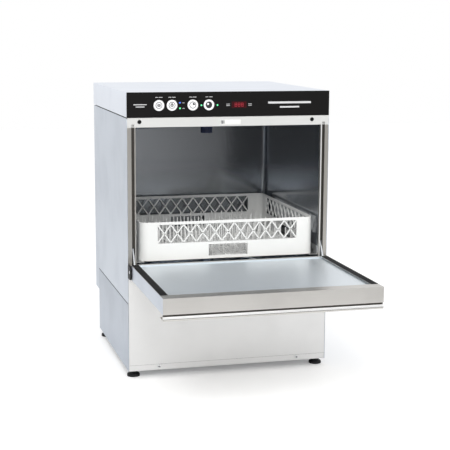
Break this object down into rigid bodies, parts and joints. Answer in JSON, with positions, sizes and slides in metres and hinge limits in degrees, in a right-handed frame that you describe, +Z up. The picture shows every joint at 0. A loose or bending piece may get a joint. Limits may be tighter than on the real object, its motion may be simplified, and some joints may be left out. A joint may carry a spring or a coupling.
{
  "type": "commercial dishwasher",
  "caption": "Undercounter dishwasher with a drop-down front door, a wash chamber with spinning spray arms and a sliding square rack.",
  "frame": {"origin": "on the floor under the middle of the bounding box, with the door open", "axes": "+X to the machine's right as seen from the front, +Y to its back, +Z up"},
  "size_m": [0.574, 1.009, 0.79],
  "materials": {
    "stainless_panel": "brushed",
    "polished_steel": "polished",
    "warm_steel": "brushed",
    "galvanised": "galvanised sheet",
    "black_plastic": "matte",
    "black_rubber": "matte",
    "fascia_black": "gloss",
    "white_plastic": "satin",
    "button_white": "satin",
    "blue_plastic": "satin",
    "display_red": "gloss",
    "lamp_clear": "gloss",
    "pump_plastic": "matte",
    "motor_aluminium": "cast",
    "spring_steel": "bright",
    "hose_rubber": "matte",
    "valve_plastic": "satin",
    "board_green": "satin"
  },
  "bodies": {
    "cabinet": {"arm_knobs": "blue_plastic", "base_tray": "galvanised", "base_wrap": "stainless_panel", "booster_heater": "galvanised", "booster_tank": "polished_steel", "cable_gland": "black_plastic", "contactors": "black_plastic", "control_back_plate": "galvanised", "control_board": "board_green", "control_fascia": "fascia_black", "display_window": "display_red", "door_catch": "white_plastic", "door_springs": "spring_steel", "door_switch": "black_plastic", "dosing_pumps": "valve_plastic", "drain_pump": "pump_plastic", "electrical_box": "galvanised", "front_frame": "warm_steel", "hinge_brackets": "black_plastic", "hinge_pins": "polished_steel", "indicator_lights": "lamp_clear", "inlet_valve": "valve_plastic", "lintel_bumpers": "black_rubber", "lower_arm_pedestal": "polished_steel", "pump_hoses": "hose_rubber", "rack_guides": "polished_steel", "rear_cover": "stainless_panel", "service_panel": "stainless_panel", "service_panel_screws": "polished_steel", "side_panel_left": "stainless_panel", "side_panel_right": "stainless_panel", "sump_strainer": "polished_steel", "tank_filter": "polished_steel", "tank_heater": "galvanised", "top_cover": "stainless_panel", "upper_arm_manifold": "polished_steel", "wash_chamber": "polished_steel", "wash_pump_casing": "pump_plastic", "wash_pump_motor": "motor_aluminium", "wash_tank": "polished_steel"},
    "door": {"door_outer_panel": "warm_steel", "door_liner": "polished_steel", "door_seals": "black_rubber", "door_handle": "warm_steel", "door_levers": "galvanised"},
    "lower_wash_arm": {"lower_wash_arm": "polished_steel"},
    "lower_rinse_arm": {"lower_rinse_arm": "polished_steel"},
    "upper_wash_arm": {"upper_wash_arm": "polished_steel"},
    "upper_rinse_arm": {"upper_rinse_arm": "polished_steel"},
    "rack": {"rack": "white_plastic"},
    "pump_impeller": {"pump_impeller": "pump_plastic"},
    "overflow_pipe": {"overflow_pipe": "polished_steel"},
    "button_power": {"button_power": "button_white"},
    "button_drain": {"button_drain": "button_white"},
    "button_cycle": {"button_cycle": "button_white"},
    "button_start": {"button_start": "button_white"},
    "foot_front_left": {"foot_front_left": "black_plastic"},
    "foot_front_right": {"foot_front_right": "black_plastic"},
    "foot_rear_left": {"foot_rear_left": "black_plastic"},
    "foot_rear_right": {"foot_rear_right": "black_plastic"}
  },
  "joints": [
    {"name": "door_hinge", "type": "hinge", "parent": "cabinet", "child": "door", "pos_m": [0, -0.09, 0.3055], "axis": [-1, 0, 0], "range_deg": [0, 90], "deforming": ["door_springs"]},
    {"name": "rack_slide", "type": "slide", "parent": "cabinet", "child": "rack", "axis": [0, 1, 0], "range_m": [-0.231, 0]},
    {"name": "lower_wash_arm_spin", "type": "hinge", "parent": "cabinet", "child": "lower_wash_arm", "pos_m": [0, 0.1965, 0.29], "axis": [0, 0, 1], "continuous": true},
    {"name": "lower_rinse_arm_spin", "type": "hinge", "parent": "cabinet", "child": "lower_rinse_arm", "pos_m": [0, 0.1965, 0.305], "axis": [0, 0, 1], "continuous": true},
    {"name": "upper_wash_arm_spin", "type": "hinge", "parent": "cabinet", "child": "upper_wash_arm", "pos_m": [0, 0.1965, 0.69], "axis": [0, 0, 1], "continuous": true},
    {"name": "upper_rinse_arm_spin", "type": "hinge", "parent": "cabinet", "child": "upper_rinse_arm", "pos_m": [0, 0.1965, 0.678], "axis": [0, 0, 1], "continuous": true},
    {"name": "impeller_spin", "type": "hinge", "parent": "cabinet", "child": "pump_impeller", "pos_m": [0.11, 0.1015, 0.1], "axis": [0, 1, 0], "continuous": true},
    {"name": "button_power_press", "type": "slide", "parent": "cabinet", "child": "button_power", "axis": [0, 1, 0], "range_m": [0, 0.002], "stiffness_N_per_m": 600},
    {"name": "button_drain_press", "type": "slide", "parent": "cabinet", "child": "button_drain", "axis": [0, 1, 0], "range_m": [0, 0.002], "stiffness_N_per_m": 600},
    {"name": "button_cycle_press", "type": "slide", "parent": "cabinet", "child": "button_cycle", "axis": [0, 1, 0], "range_m": [0, 0.002], "stiffness_N_per_m": 600},
    {"name": "button_start_press", "type": "slide", "parent": "cabinet", "child": "button_start", "axis": [0, 1, 0], "range_m": [0, 0.002], "stiffness_N_per_m": 600},
    {"name": "foot_front_left_screw", "type": "slide", "parent": "cabinet", "child": "foot_front_left", "axis": [0, 0, -1], "range_m": [0, 0.03]},
    {"name": "foot_front_right_screw", "type": "slide", "parent": "cabinet", "child": "foot_front_right", "axis": [0, 0, -1], "range_m": [0, 0.03]},
    {"name": "foot_rear_left_screw", "type": "slide", "parent": "cabinet", "child": "foot_rear_left", "axis": [0, 0, -1], "range_m": [0, 0.03]},
    {"name": "foot_rear_right_screw", "type": "slide", "parent": "cabinet", "child": "foot_rear_right", "axis": [0, 0, -1], "range_m": [0, 0.03]},
    {"name": "overflow_lift", "type": "slide", "parent": "cabinet", "child": "overflow_pipe", "axis": [0, 0, 1], "range_m": [0, 0.022]}
  ]
}
